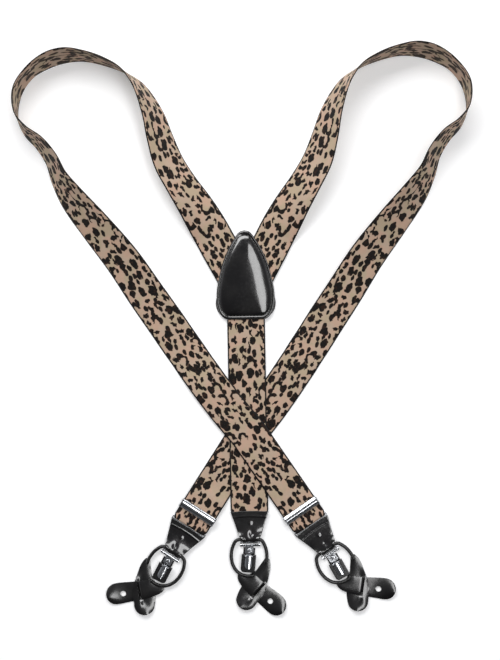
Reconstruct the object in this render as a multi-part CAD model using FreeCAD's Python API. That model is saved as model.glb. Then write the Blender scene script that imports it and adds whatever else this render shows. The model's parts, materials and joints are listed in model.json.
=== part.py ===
import FreeCAD, Part
import math
import os

from FreeCAD import Vector

# Y-back dress suspenders laid flat, crossing in front.  Millimetres, +Z up.
# Origin: on the underside of the back patch, at its centre.  +Y runs towards the
# shoulder loops, +X to the right.  The table is the plane Z = 0.

# webbing
STRAP_WIDTH = 35.0
STRAP_THICK = 1.4
STRAP_HALF = STRAP_WIDTH / 2
LAYER_GAP = 0.1
FUSE_TOLERANCE = 0.005

# heights of the webbing above the table
BACK_LEVEL = STRAP_THICK + 0.05
TOP_LEVEL = BACK_LEVEL + STRAP_THICK + LAYER_GAP
END_LEVEL = 2.7

# leather
LEATHER = 1.1
EAR_THICK = 1.6
EAR_STEP = EAR_THICK + 0.3

# back patch
PATCH_APEX = 41.4
PATCH_FOOT = -41.4
PATCH_HALF = 27.0
LINING_THICK = 1.3
COVER_TOP = 5.6

# three strap ends: place of each leather tab's top edge, and its turn about Z
BACK_END = Vector(0, -220.2, 0)
FRONT_END = Vector(57.8, -234.3, 0)
FRONT_TURN = 33.5

# leather tab, measured down from its top edge
TAB_TOP_HALF = 17.7
TAB_LOW_HALF = 9.8
TAB_FOLD_HALF = 7.8
TAB_NARROWS = 24.6
TAB_FOLD = 25.6
TAB_SEWN = 8.2
SLOT_LOW = 1.2
SLOT_HIGH = 2.95
EYE_WALL = 1.0

# rolled-leather cord loop that carries the two button ears
CORD_R = 1.7
CORD_EYE = (25.0, 4.2)
LOOP_CENTRE = -1.2
LOOP_WIDE = 40.5
LOOP_BOTTOM = 59.5
LOOP_HALF = 16.5
LOOP_SIDE_R = 26.0
LOOP_CORNER_R = 6.0
LOOP_TILT = 2.25
LOOP_END = 16

# chrome hanger and clip
HANGER_BAR = (27.15, 1.95)
HANGER_R = 0.9
RAIL_HALF = 9.4
RAIL_LOW = 31.9
RIVET = Vector(-0.9, -35.6, 0)
CLIP_TURN = -5.5
CLIP_HALF = 6.75
CLIP_END = 55.5
CLIP_WALL = 0.9
CLIP_PIN = (41.0, 4.6)
CLIP_PIN_R = 0.8
RUN = 0.06

# webbing loop plate of the front ends
PLATE_PIVOT = (-3.6, 2.05)
PLATE_HALF = 17.9
FOLD_HALF = 16.6
FOLD_START = -6.5
TAIL_END = -24.0

# adjuster on each front strap
ADJ_CENTRE = -17.6
ADJ_HALF = 4.5
ADJ_PLATE_HALF = 17.0
ADJ_PIN = (-21.0, 5.4)
ADJ_PIN_R = 0.6


def save(shape, name):
    """Writes one sub-part and reports its solids and volume."""
    shape.exportStep("parts/" + name + ".step")
    print(f"{name:24s} solids {len(shape.Solids)} valid {shape.isValid()} {shape.Volume:9.1f} mm3")


def outline(points):
    """A closed wire in the XY plane.  Each entry is (x, y), or (x, y, mx, my) where
    the stretch that arrives there is an arc through (mx, my)."""
    edges = []
    for before, here in zip([points[-1]] + points[:-1], points):
        start = Vector(before[0], before[1], 0)
        end = Vector(here[0], here[1], 0)
        if len(here) == 4:
            edges.append(Part.Arc(start, Vector(here[2], here[3], 0), end).toShape())
        else:
            edges.append(Part.LineSegment(start, end).toShape())
    return Part.Wire(edges)


def slab(points, low, high):
    """A flat outline, given across and down the strap, made solid between two heights."""
    flipped = [tuple(value * (-1) ** place for place, value in enumerate(p)) for p in points]
    face = Part.Face(outline(flipped))
    face.translate(Vector(0, 0, low))
    return face.extrude(Vector(0, 0, high - low))


def side_profile(points, half):
    """An outline given down the strap and up, made solid across the strap."""
    face = Part.Face(outline(points))
    solid = face.extrude(Vector(0, 0, 2 * half))
    solid.translate(Vector(0, 0, -half))
    # down the strap becomes -Y, and up becomes +Z
    solid.rotate(Vector(), Vector(1, 0, 0), 90)
    solid.rotate(Vector(), Vector(0, 0, 1), -90)
    return solid


def block(left, right, start, end, low, high):
    """A box across, down and up the strap."""
    return Part.makeBox(right - left, end - start, high - low, Vector(left, -end, low))


def rod(left, right, centre, radius):
    """A round bar across the strap at (down, up)."""
    down, up = centre
    return Part.makeCylinder(radius, right - left, Vector(left, -down, up), Vector(1, 0, 0))


def stud(across, down, low, high, radius):
    return Part.makeCylinder(radius, high - low, Vector(across, -down, low))


def at_back(shape):
    """Moves a shape from the end's own frame to the back strap's end."""
    placed = shape.copy()
    placed.translate(BACK_END)
    return placed


def at_front(shape, side):
    """Moves a shape to the right front end, or mirrored to the left front end."""
    placed = shape.copy()
    placed.rotate(Vector(), Vector(0, 0, 1), FRONT_TURN)
    placed.translate(FRONT_END)
    if side < 0:
        placed = placed.mirror(Vector(), Vector(1, 0, 0))
    return placed


# ---------------------------------------------------------------- shoulder straps
# Middle line of the strap whose loop is at -X: x, y, tilt about the line in
# degrees, and what its lower edge rests on.
# Tilt 0 lies flat with the face up; 90 stands on edge with the face outwards.
ROUTE = [
    (-4.0, -10.0, 0, "patch"),
    (-13.5, 7.5, 0, "patch"),
    (-22.5, 24.0, 0, "patch"),
    (-29.0, 36.5, 0, "patch"),
    (-35.5, 48.5, 9, "leaving"),
    (-45.0, 65.0, 22, "table"),
    (-57.0, 84.0, 33, "table"),
    (-68.5, 104.5, 38, "table"),
    (-76.0, 127.0, 47, "table"),
    (-82.5, 150.0, 57, "table"),
    (-94.5, 175.0, 72, "table"),
    (-110.0, 190.0, 88, "table"),
    (-127.5, 198.5, 95, "table"),
    (-145.0, 203.5, 99, "table"),
    (-162.0, 204.5, 105, "table"),
    (-178.5, 200.0, 105, "table"),
    (-195.5, 188.5, 99, "table"),
    (-206.5, 172.0, 97, "table"),
    (-208.0, 151.0, 88, "table"),
    (-200.0, 136.0, 78, "table"),
    (-187.0, 124.0, 70, "table"),
    (-176.5, 109.0, 65, "table"),
    (-169.5, 91.5, 58, "table"),
    (-157.5, 72.0, 44, "table"),
    (-137.0, 46.0, 31, "table"),
    (-113.0, 15.0, 19, "table"),
    (-92.0, -17.0, 9, "table"),
    (-72.5, -46.0, 2, "table"),
    (-63.0, -60.5, 0, "table"),
    (-53.5, -74.5, 0, "table"),
    (-49.0, -81.5, 0, "low climb"),
    (-44.5, -88.0, 0, "mid climb"),
    (-40.0, -94.5, 0, "high climb"),
    (-35.5, -101.0, 0, "crossing"),
    (-26.5, -113.5, 0, "crossing"),
    (-17.5, -125.5, 0, "crossing"),
]
# The rest of the leg is straight, and changes level between two distances up the
# strap from the leather tab's top edge.
LEG_START = 104.0
LEG_STATIONS = 22
LEVEL_FROM = 47.0
LEVEL_TO = 35.0


def smooth(share):
    share = min(max(share, 0.0), 1.0)
    return share * share * (3 - 2 * share)


def stations(side):
    """(middle point, tilt) all along one shoulder strap, in the frame of the -X loop."""
    crossing = TOP_LEVEL if side > 0 else 0.0
    level = {"patch": BACK_LEVEL, "leaving": BACK_LEVEL / 2, "table": 0.0}
    for word, share in (("low climb", 0.16), ("mid climb", 0.5), ("high climb", 0.84), ("crossing", 1)):
        level[word] = share * crossing
    listed = [(x, y, tilt, level[where]) for x, y, tilt, where in ROUTE]
    turn = math.radians(FRONT_TURN)
    for index in range(LEG_STATIONS):
        up = LEG_START + (-FOLD_START - LEG_START) * index / (LEG_STATIONS - 1)
        x = FRONT_END.x - up * math.sin(turn)
        y = FRONT_END.y + up * math.cos(turn)
        share = smooth((LEVEL_FROM - up) / (LEVEL_FROM - LEVEL_TO))
        listed.append((x, y, 0, crossing + (END_LEVEL - crossing) * share))
    result = []
    for x, y, tilt, base in listed:
        angle = math.radians(tilt)
        middle = base + STRAP_HALF * math.sin(angle) + STRAP_THICK / 2 * abs(math.cos(angle))
        result.append((Vector(x, y, middle), angle))
    return result


def chord_lengths(points):
    total, lengths = 0.0, [0.0]
    for before, after in zip(points, points[1:]):
        total += after.distanceToPoint(before)
        lengths.append(total)
    return lengths


def rail(points, knots):
    curve = Part.BSplineCurve()
    curve.interpolate(Points=points, Parameters=knots)
    return curve


def ribbon(one, other):
    """The face ruled straight across from one rail to the other."""
    poles = [one.getPoles(), other.getPoles()]
    surface = Part.BSplineSurface()
    surface.buildFromPolesMultsKnots(
        poles, [2, 2], one.getMultiplicities(), [0, 1], one.getKnots(), False, False, 1, one.Degree
    )
    return surface.toShape()


def webbing(side):
    """The flat band between four rails, one at each corner of its section."""
    listed = stations(side)
    middles = [point for point, _ in listed]
    knots = chord_lengths(middles)
    corners = [[], [], [], []]
    last = len(listed) - 1
    for index, (point, angle) in enumerate(listed):
        ahead = middles[min(index + 1, last)] - middles[max(index - 1, 0)]
        ahead.z = 0
        ahead.normalize()
        inward = Vector(-ahead.y, ahead.x, 0)
        wide = inward * math.cos(angle) + Vector(0, 0, math.sin(angle))
        thick = Vector(0, 0, math.cos(angle)) - inward * math.sin(angle)
        for place, (a, b) in enumerate([(-1, -1), (1, -1), (1, 1), (-1, 1)]):
            corner = point + wide * (a * STRAP_HALF) + thick * (b * STRAP_THICK / 2)
            corners[place].append(corner)
    rails = [rail(points, knots) for points in corners]
    faces = [ribbon(rails[i], rails[(i + 1) % 4]) for i in range(4)]
    for end in (0, -1):
        ring = [points[end] for points in corners]
        faces.append(Part.Face(Part.makePolygon(ring + [ring[0]])))
    sewn = Part.makeCompound(faces)
    sewn.sewShape()
    solid = Part.makeSolid(sewn.Shells[0])
    if solid.Volume < 0:
        solid.reverse()
    return solid


def webbing_fold():
    """The turn of webbing round the loop plate's bar and its tail behind, in the end's frame."""
    down, up = PLATE_PIVOT
    inner = END_LEVEL - up
    outer = inner + STRAP_THICK
    points = [
        (FOLD_START, END_LEVEL),
        (down, END_LEVEL),
        (down, up - inner, down + inner, up),
        (TAIL_END, up - inner),
        (TAIL_END, up - outer),
        (down, up - outer),
        (down, up + outer, down + outer, up),
        (FOLD_START, up + outer),
    ]
    return side_profile(points, FOLD_HALF)


def shoulder_strap(side):
    band = webbing(side)
    beyond = Part.makeBox(40, 60, 10, Vector(-LAYER_GAP / 2, -40, -1))
    band = band.cut(beyond)
    fold = at_front(webbing_fold(), 1)
    band = band.fuse((fold,), FUSE_TOLERANCE)
    if side < 0:
        band = band.mirror(Vector(), Vector(1, 0, 0))
    return band


# --------------------------------------------------------------- back strap, patch
BACK_STRAP_TOP = -19.5
SEWN_END = TAB_SEWN - 0.4
SEWN_HALF = 14.0
CORNER_DROP = 0.6


def back_strap():
    """Webbing from the patch to the leather tab, trimmed to the tab's flanks inside it."""
    top = BACK_END.y - BACK_STRAP_TOP
    plan = [
        (-STRAP_HALF, top),
        (STRAP_HALF, top),
        (STRAP_HALF, 0),
        (STRAP_HALF - CORNER_DROP, CORNER_DROP),
        (SEWN_HALF, SEWN_END),
        (-SEWN_HALF, SEWN_END),
        (-STRAP_HALF + CORNER_DROP, CORNER_DROP),
        (-STRAP_HALF, 0),
    ]
    return at_back(slab(plan, BACK_LEVEL, BACK_LEVEL + STRAP_THICK))


# back patch: round apex, long curved flanks, widest place, round foot corners
APEX_R = 9.0
APEX_SPREAD = math.radians(22)
APEX_BEND = (0.61, 0.79)
FLANK_BEND = (5.2, 6.0)
WIDEST = -19.0
FOOT_CORNER = 8.0
FOOT_BEND = (1.6, 5.0)
LINING_INSET = 0.8
COVER_RIM_R = 1.5
STRAP_ROOM = 0.1


def patch_face(inset):
    radius = APEX_R - inset
    centre = PATCH_APEX - APEX_R
    half = PATCH_HALF - inset
    foot = PATCH_FOOT + inset
    start = (radius * math.cos(APEX_SPREAD), centre + radius * math.sin(APEX_SPREAD))
    apex_bend = (radius * APEX_BEND[0], centre + radius * APEX_BEND[1])
    flank = half - FLANK_BEND[0]
    corner = half - FOOT_BEND[0]
    low = foot + FOOT_BEND[1]
    points = [
        (0, PATCH_APEX - inset, -apex_bend[0], apex_bend[1]),
        (start[0], start[1], apex_bend[0], apex_bend[1]),
        (half, WIDEST, flank, FLANK_BEND[1]),
        (half - FOOT_CORNER, foot, corner, low),
        (FOOT_CORNER - half, foot),
        (-half, WIDEST, -corner, low),
        (-start[0], start[1], -flank, FLANK_BEND[1]),
    ]
    return Part.Face(outline(points))


def patch_lining():
    return patch_face(LINING_INSET).extrude(Vector(0, 0, LINING_THICK))


def patch_cover():
    """Domed leather, hollowed underneath where the three straps run in."""
    base = LINING_THICK + 0.05
    face = patch_face(0)
    face.translate(Vector(0, 0, base))
    body = face.extrude(Vector(0, 0, COVER_TOP - base))
    rim = [e for e in body.Edges if e.BoundBox.ZMin > COVER_TOP - 0.01]
    body = body.makeFillet(COVER_RIM_R, rim)
    reach = 60
    channel = Part.makeBox(STRAP_WIDTH + 2 * STRAP_ROOM, reach, STRAP_THICK + 2 * STRAP_ROOM)
    channel.translate(Vector(-STRAP_HALF - STRAP_ROOM, 0, BACK_LEVEL - STRAP_ROOM))
    low = channel.copy()
    low.translate(Vector(0, BACK_STRAP_TOP + STRAP_ROOM - reach, 0))
    body = body.cut(low)
    start, beyond = ROUTE[0], ROUTE[2]
    lean = math.degrees(math.atan2(beyond[0] - start[0], beyond[1] - start[1]))
    for side in (1, -1):
        arm = channel.copy()
        arm.rotate(Vector(), Vector(0, 0, 1), -lean * side)
        arm.translate(Vector(start[0] * side, start[1], 0))
        body = body.cut(arm)
    return body


# ------------------------------------------------------------------- leather tab
TAB_WAIST = (12.9, 13.5)
TAB_ARCH = 0.8
TAB_BASE = 0.1
EYE_ROOM = 0.3
EYE_FLARE = 0.6
FLARE_FROM = (-8.8, 6.4)
BAR_ROOM = 0.15
BAR_WALL = 0.85
SWELL_START = 12.5
SWELL_TOP = (19.5, 5.9)


def tab_leather():
    """Folded leather: two panels sewn round the webbing or plate, and an eye below."""
    waist, waist_down = TAB_WAIST
    foot = TAB_FOLD + 4.4
    plan = [
        (-TAB_TOP_HALF, 0, -waist, waist_down),
        (TAB_TOP_HALF, 0, 0, -TAB_ARCH),
        (TAB_LOW_HALF, TAB_NARROWS, waist, waist_down),
        (TAB_FOLD_HALF, TAB_FOLD),
        (TAB_FOLD_HALF, foot),
        (-TAB_FOLD_HALF, foot),
        (-TAB_FOLD_HALF, TAB_FOLD),
        (-TAB_LOW_HALF, TAB_NARROWS),
    ]
    bar_down, bar_up = HANGER_BAR
    eye_down, eye_up = CORD_EYE
    eye = CORD_R + EYE_ROOM
    over = eye + EYE_WALL
    bar = HANGER_R + BAR_ROOM
    under = bar + BAR_WALL
    side = [
        (-1, TAB_BASE),
        (bar_down, TAB_BASE),
        (bar_down + under, bar_up, bar_down + 1.35, 0.6),
        (eye_down + over * 0.99, eye_up + 0.35),
        (eye_down, eye_up + over, eye_down + over * 0.64, eye_up + over * 0.77),
        SWELL_TOP,
        (SWELL_START, SLOT_HIGH + LEATHER),
        (-1, SLOT_HIGH + LEATHER),
    ]
    wide = 20
    tab = slab(plan, -1, 9).common(side_profile(side, wide))
    tab = tab.cut(rod(-wide, wide, CORD_EYE, eye))
    tab = tab.cut(rod(-wide, FLARE_FROM[0], CORD_EYE, eye + EYE_FLARE))
    tab = tab.cut(rod(FLARE_FROM[1], wide, CORD_EYE, eye + EYE_FLARE))
    tab = tab.cut(rod(-wide, wide, HANGER_BAR, bar))
    return tab.cut(block(-wide, wide, -2, TAB_SEWN, SLOT_LOW, SLOT_HIGH))


# ---------------------------------------------------------- cord loop and its ears
def loop_tilted(shape):
    down, up = CORD_EYE
    tilted = shape.copy()
    tilted.rotate(Vector(0, -down, up), Vector(1, 0, 0), LOOP_TILT)
    return tilted


def loop_cord():
    """One tube through the eye: straight inside it, then round the two flanks."""
    top = CORD_EYE[0]
    inset = LOOP_SIDE_R - LOOP_HALF
    fall = LOOP_BOTTOM - LOOP_WIDE
    foot_r = (LOOP_SIDE_R**2 - inset**2 - fall**2) / (2 * (LOOP_SIDE_R - fall))
    foot_c = LOOP_BOTTOM - foot_r
    reach = LOOP_SIDE_R - LOOP_CORNER_R
    rise = LOOP_WIDE - top - LOOP_CORNER_R
    corner_x = math.sqrt(reach**2 - rise**2) - inset
    corner_y = top + LOOP_CORNER_R
    high_x = -inset + LOOP_SIDE_R * (corner_x + inset) / reach
    high_y = LOOP_WIDE - LOOP_SIDE_R * rise / reach
    span = LOOP_SIDE_R - foot_r
    low_x = -inset + LOOP_SIDE_R * inset / span
    low_y = LOOP_WIDE + LOOP_SIDE_R * (foot_c - LOOP_WIDE) / span

    def spot(x, y):
        return Vector(LOOP_CENTRE + x, -y, CORD_EYE[1])

    def on_corner(side, degrees):
        angle = math.radians(degrees)
        x = corner_x + LOOP_CORNER_R * math.cos(angle)
        return spot(side * x, corner_y - LOOP_CORNER_R * math.sin(angle))

    def on_foot(degrees):
        angle = math.radians(degrees)
        return spot(foot_r * math.sin(angle), foot_c + foot_r * math.cos(angle))

    edges = [
        Part.Arc(on_foot(LOOP_END), on_foot(-30), spot(-low_x, low_y)),
        Part.Arc(spot(-low_x, low_y), spot(-LOOP_HALF, LOOP_WIDE), spot(-high_x, high_y)),
        Part.Arc(spot(-high_x, high_y), on_corner(-1, 60), spot(-corner_x, top)),
        Part.LineSegment(spot(-corner_x, top), spot(corner_x, top)),
        Part.Arc(spot(corner_x, top), on_corner(1, 60), spot(high_x, high_y)),
        Part.Arc(spot(high_x, high_y), spot(LOOP_HALF, LOOP_WIDE), spot(low_x, low_y)),
    ]
    path = Part.Wire([edge.toShape() for edge in edges])
    start = on_foot(LOOP_END)
    angle = math.radians(LOOP_END)
    along = Vector(math.cos(angle), math.sin(angle), 0)
    ring = Part.Wire(Part.Circle(start, along, CORD_R).toShape())
    tube = path.makePipeShell([ring], True, False)
    return loop_tilted(tube)


# The ears cross: ear B starts above ear A and dives through a slit in it.
CROSS = (6.0, 73.0)
CROSS_TURN = 43.0
RAMP_HALF = 1.2
RAMP_SHIFT = 0.3
SLIT_HALF = 2.6
SLIT_REACH = 9.4
BUTTON_HOLE = (17.8, 83.2)
BUTTON_HOLE_R = 2.5


def at_crossing(shape):
    """Turns a shape drawn down the strap to run along ear B, and moves it to the crossing."""
    shape.rotate(Vector(), Vector(0, 0, 1), 90 - CROSS_TURN)
    shape.translate(Vector(CROSS[0], -CROSS[1], 0))
    return shape


def crossing_sheet(first, second):
    """An endless sheet of leather at one level before the crossing and another after."""
    far = 70.0
    shift = RAMP_SHIFT if first > second else -RAMP_SHIFT
    points = [
        (-far, first),
        (-RAMP_HALF, first),
        (RAMP_HALF, second),
        (far, second),
        (far, second + EAR_THICK),
        (RAMP_HALF + shift, second + EAR_THICK),
        (shift - RAMP_HALF, first + EAR_THICK),
        (-far, first + EAR_THICK),
    ]
    return at_crossing(side_profile(points, far))


def ear_a():
    """The ear that grows from the cord's right flank and ends low on the left."""
    plan = [
        (13.4, 43.6, 7.4, 46.8),
        (17.6, 44.0),
        (17.4, 57.6, 18.6, 51.0),
        (5.4, 84.4, 13.4, 72.6),
        (-13.2, 78.0, -5.3, 90.7),
        (-3.0, 60.5),
        (5.0, 54.5),
    ]
    ear = slab(plan, -1, 9).common(crossing_sheet(0.0, EAR_STEP))
    slit = block(-SLIT_REACH, SLIT_REACH, -SLIT_HALF, SLIT_HALF, -1, 9)
    return ear.cut(at_crossing(slit))


def ear_b():
    """The ear that grows from the cord's foot and ends low on the right."""
    plan = [
        (-12.0, 57.6, -11.6, 66.0),
        (4.0, 58.8, -3.6, 60.0),
        (12.6, 66.4),
        (27.6, 77.8),
        (16.6, 94.2, 33.0, 91.2),
        (0.3, 78.9),
        (-3.3, 74.9),
    ]
    ear = slab(plan, -1, 9).common(crossing_sheet(EAR_STEP, 0.0))
    return ear.cut(stud(*BUTTON_HOLE, -1, 9, BUTTON_HOLE_R))


# ------------------------------------------------------------------ hanger, clip
def clip_turned(shape):
    turned = shape.copy()
    turned.rotate(RIVET, Vector(0, 0, 1), CLIP_TURN)
    return turned


BAR_HALF = 8.9
ARM_WIDE = 0.95
ARM_HALF_THICK = 0.55
RAIL_TALL = 2.3
RAIL_HALF_THICK = 0.8
RAIL_CROWN = 0.45
TONGUE_HALF = 4.0
TONGUE_END = 38.4
TONGUE_TOP = 0.7
RIVET_R = 1.2
RIVET_HEAD_R = 2.0
RIVET_HEAD = 0.9


def clip_hanger():
    """Bar in the leather eye, two arms, a crowned rail below and a tongue for the rivet."""
    down, up = HANGER_BAR
    hanger = rod(-BAR_HALF, BAR_HALF, HANGER_BAR, HANGER_R)
    rail_start = RAIL_LOW - RAIL_TALL
    low, high = up - RAIL_HALF_THICK, up + RAIL_HALF_THICK
    crown = [
        (rail_start, low),
        (RAIL_LOW, low),
        (RAIL_LOW, high - RAIL_CROWN),
        (rail_start, high - RAIL_CROWN, RAIL_LOW - RAIL_TALL / 2, high),
    ]
    for side in (-1, 1):
        edges = sorted([side * (BAR_HALF - ARM_WIDE), side * BAR_HALF])
        ends = (down, rail_start + RAIL_TALL / 2)
        hanger = hanger.fuse(block(*edges, *ends, up - ARM_HALF_THICK, up + ARM_HALF_THICK))
    hanger = hanger.fuse(side_profile(crown, RAIL_HALF))
    left, right = RIVET.x - TONGUE_HALF, RIVET.x + TONGUE_HALF
    tongue = block(left, right, RAIL_LOW - 0.5, TONGUE_END, up - 0.1, up + TONGUE_TOP)
    hole = stud(RIVET.x, -RIVET.y, 0, 9, RIVET_R + RUN)
    return hanger.fuse(tongue).cut(hole).removeSplitter()


def clip_rivet():
    under_head = HANGER_BAR[1] + TONGUE_TOP + 0.1
    shaft = stud(0, 0, 0.35, under_head + 0.3, RIVET_R)
    head = stud(0, 0, under_head, under_head + RIVET_HEAD, RIVET_HEAD_R)
    crown = [e for e in head.Edges if e.BoundBox.ZMin > under_head + RIVET_HEAD - 0.01]
    return shaft.fuse(head.makeFillet(0.5, crown))


BASE_HALF = 5.4
BASE_START = -2.6
BASE_TOP = 1.5
BASE_THICK = 1.0
PIN_EAR = 0.8
PIN_EAR_REACH = 1.9
PIN_EAR_TOP = 6.1
PIN_DOWN = CLIP_PIN[0] + RIVET.y
CLIP_FOOT = CLIP_END + RIVET.y


def clip_base():
    """Rear jaw: a plate under the rivet with two ears that hold the pin."""
    plate = block(-BASE_HALF, BASE_HALF, BASE_START, CLIP_FOOT, BASE_TOP - BASE_THICK, BASE_TOP)
    start, end = PIN_DOWN - PIN_EAR_REACH, PIN_DOWN + PIN_EAR_REACH
    for side in (-1, 1):
        edges = sorted([side * (BASE_HALF - PIN_EAR), side * BASE_HALF])
        plate = plate.fuse(block(*edges, start, end, BASE_TOP - BASE_THICK / 2, PIN_EAR_TOP))
    plate = plate.cut(rod(-9, 9, (PIN_DOWN, CLIP_PIN[1]), CLIP_PIN_R + 0.02))
    return plate.cut(stud(0, 0, 0, 9, RIVET_R + 0.02)).removeSplitter()


PAD_HALF = 5.0
PAD_START = CLIP_FOOT - 6.4
PAD_END = CLIP_FOOT - 0.3
PAD_TOP = 2.4
PAD_GROOVES = 3
PAD_PITCH = 1.8
PAD_GROOVE = (0.7, 0.4)


def clip_pad():
    """Ribbed rubber strip on the rear jaw that grips the waistband."""
    pad = block(-PAD_HALF, PAD_HALF, PAD_START, PAD_END, BASE_TOP + 0.02, PAD_TOP)
    width, depth = PAD_GROOVE
    for row in range(PAD_GROOVES):
        start = PAD_START + 0.8 + PAD_PITCH * row
        pad = pad.cut(block(-6, 6, start, start + width, PAD_TOP - depth, PAD_TOP + 1))
    return pad


def clip_pin():
    return rod(-CLIP_HALF, CLIP_HALF, (PIN_DOWN, CLIP_PIN[1]), CLIP_PIN_R)


def obround(half_width, start, end, low, high):
    """A slot shape with round ends, long way down the clip."""
    body = block(-half_width, half_width, start + half_width, end - half_width, low, high)
    for down in (start + half_width, end - half_width):
        body = body.fuse(stud(0, down, low, high, half_width))
    return body.removeSplitter()


JAW_START = 38.9 + RIVET.y
JAW_TOP = 7.4
JAW_LOW = 2.9
JAW_CORNER_R = 3.0
JAW_RIM_R = 0.7
JAW_LIP = 1.6
WINDOW_HALF = 3.5
LEVER_HALF = 3.1
LEVER_TOP = 7.9
LEVER_EDGE = 6.6
LEVER_CROWN_R = 7.0
LEVER_START = JAW_START + 1.3
LEVER_END = CLIP_FOOT - 3.1
BARREL_HALF = 2.2
BARREL_R = 1.6


def clip_jaw():
    """Front jaw: a pressed cover with side walls, a biting edge and a long window."""
    body = block(-CLIP_HALF, CLIP_HALF, JAW_START, CLIP_FOOT, JAW_LOW, JAW_TOP)
    foot = [e for e in body.Edges if e.BoundBox.YMax < -CLIP_FOOT + 0.01 and e.BoundBox.ZLength > 1]
    body = body.makeFillet(JAW_CORNER_R, foot)
    rim = [e for e in body.Edges if e.BoundBox.ZMin > JAW_TOP - 0.01]
    body = body.makeFillet(JAW_RIM_R, rim)
    inner = CLIP_HALF - CLIP_WALL
    inside = block(-inner, inner, JAW_START - 1, CLIP_FOOT - JAW_LIP, JAW_LOW - 1, JAW_TOP - CLIP_WALL)
    window = obround(WINDOW_HALF, JAW_START - 5.0, CLIP_FOOT - 2.8, 0, 12)
    body = body.cut(inside).cut(window)
    return body.cut(rod(-9, 9, (PIN_DOWN, CLIP_PIN[1]), CLIP_PIN_R + RUN))


def clip_lever():
    """Polished crowned lever in the jaw's window, with a barrel on the pin."""
    centre = (PIN_DOWN, CLIP_PIN[1])
    lever = obround(LEVER_HALF, LEVER_START, LEVER_END, LEVER_EDGE, LEVER_TOP)
    crown = Part.makeCylinder(LEVER_CROWN_R, 60, Vector(0, 30, 0), Vector(0, -1, 0))
    crown.translate(Vector(0, 0, LEVER_TOP - LEVER_CROWN_R))
    lever = lever.common(crown)
    lever = lever.fuse(rod(-BARREL_HALF, BARREL_HALF, centre, BARREL_R))
    web = block(-BARREL_HALF, BARREL_HALF, PIN_DOWN - 1.0, PIN_DOWN + 1.0, CLIP_PIN[1], LEVER_EDGE + 0.4)
    return lever.fuse(web).cut(rod(-9, 9, centre, CLIP_PIN_R + RUN)).removeSplitter()


# --------------------------------------------------------- front ends: plate, adjuster
PLATE_EDGE = -1.4
PLATE_HALF_THICK = 0.8
PLATE_TONGUE_HALF = 14.2
PLATE_ARM = (1.0, 0.5)


def loop_plate():
    """Chrome plate sewn into the tab, with a bar above for the webbing's turn."""
    down, up = PLATE_PIVOT
    low, high = up - PLATE_HALF_THICK, up + PLATE_HALF_THICK
    plate = block(-PLATE_HALF, PLATE_HALF, PLATE_EDGE, -0.05, low, high)
    plate = plate.fuse(block(-PLATE_TONGUE_HALF, PLATE_TONGUE_HALF, PLATE_EDGE, SEWN_END, low, high))
    wide, half_thick = PLATE_ARM
    for side in (-1, 1):
        ends = sorted([side * (PLATE_HALF - wide), side * PLATE_HALF])
        plate = plate.fuse(block(*ends, down, PLATE_EDGE + 0.4, up - half_thick, up + half_thick))
    return plate.fuse(rod(-PLATE_HALF, PLATE_HALF, PLATE_PIVOT, half_thick)).removeSplitter()


ADJ_EAR_IN = STRAP_HALF + 0.25
ADJ_EAR = 0.6
ADJ_OUTER = ADJ_EAR_IN + ADJ_EAR
ADJ_BASE = (1.65, 2.4)
ADJ_EAR_TOP = 5.6
ADJ_EAR_R = 1.3
ADJ_BARREL_R = 1.05


def adjuster_frame():
    """Thin steel channel behind the webbing with an ear at each edge for the pin."""
    low, high = ADJ_BASE
    start, end = ADJ_CENTRE - ADJ_HALF + 0.3, ADJ_CENTRE + ADJ_HALF - 0.3
    frame = block(-ADJ_OUTER, ADJ_OUTER, start, end, low, high)
    for side in (-1, 1):
        ends = sorted([side * ADJ_EAR_IN, side * ADJ_OUTER])
        frame = frame.fuse(block(*ends, start, end, low, ADJ_EAR_TOP))
        frame = frame.fuse(rod(*ends, ADJ_PIN, ADJ_EAR_R))
    return frame.cut(rod(-30, 30, ADJ_PIN, ADJ_PIN_R + 0.02)).removeSplitter()


def adjuster_pin():
    return rod(-ADJ_OUTER, ADJ_OUTER, ADJ_PIN, ADJ_PIN_R)


def adjuster_plate():
    """Curved front plate that clamps the webbing and hinges up on the pin."""
    start, end = ADJ_CENTRE - ADJ_HALF, ADJ_CENTRE + ADJ_HALF
    points = [
        (start, 5.0, ADJ_CENTRE, 7.3),
        (start + 0.9, 4.45),
        (end - 0.9, 4.45, ADJ_CENTRE, 6.0),
        (end, 4.5),
    ]
    plate = side_profile(points, ADJ_PLATE_HALF)
    plate = plate.fuse(rod(-ADJ_PLATE_HALF, ADJ_PLATE_HALF, ADJ_PIN, ADJ_BARREL_R))
    return plate.cut(rod(-30, 30, ADJ_PIN, ADJ_PIN_R + RUN)).removeSplitter()


# ------------------------------------------------------------------------- build
def build():
    os.makedirs("parts", exist_ok=True)
    save(shoulder_strap(1), "shoulder_strap_left")
    save(shoulder_strap(-1), "shoulder_strap_right")
    save(back_strap(), "back_strap")
    save(patch_cover(), "patch_cover")
    save(patch_lining(), "patch_lining")

    end_pieces = {
        "tab_leather": tab_leather(),
        "loop_cord": loop_cord(),
        "ear_a": ear_a(),
        "ear_b": ear_b(),
        "clip_hanger": clip_hanger(),
    }
    for name, make in [
        ("clip_rivet", clip_rivet),
        ("clip_base", clip_base),
        ("clip_pad", clip_pad),
        ("clip_pin", clip_pin),
        ("clip_jaw", clip_jaw),
        ("clip_lever", clip_lever),
    ]:
        shape = make()
        shape.translate(RIVET)
        end_pieces[name] = clip_turned(shape)
    front_pieces = {
        "loop_plate": loop_plate(),
        "adjuster_frame": adjuster_frame(),
        "adjuster_pin": adjuster_pin(),
        "adjuster_plate": adjuster_plate(),
    }
    for name, shape in end_pieces.items():
        save(at_back(shape), name + "_back")
    for side, word in ((1, "right"), (-1, "left")):
        for name, shape in {**end_pieces, **front_pieces}.items():
            save(at_front(shape, side), name + "_" + word)


build()
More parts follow.
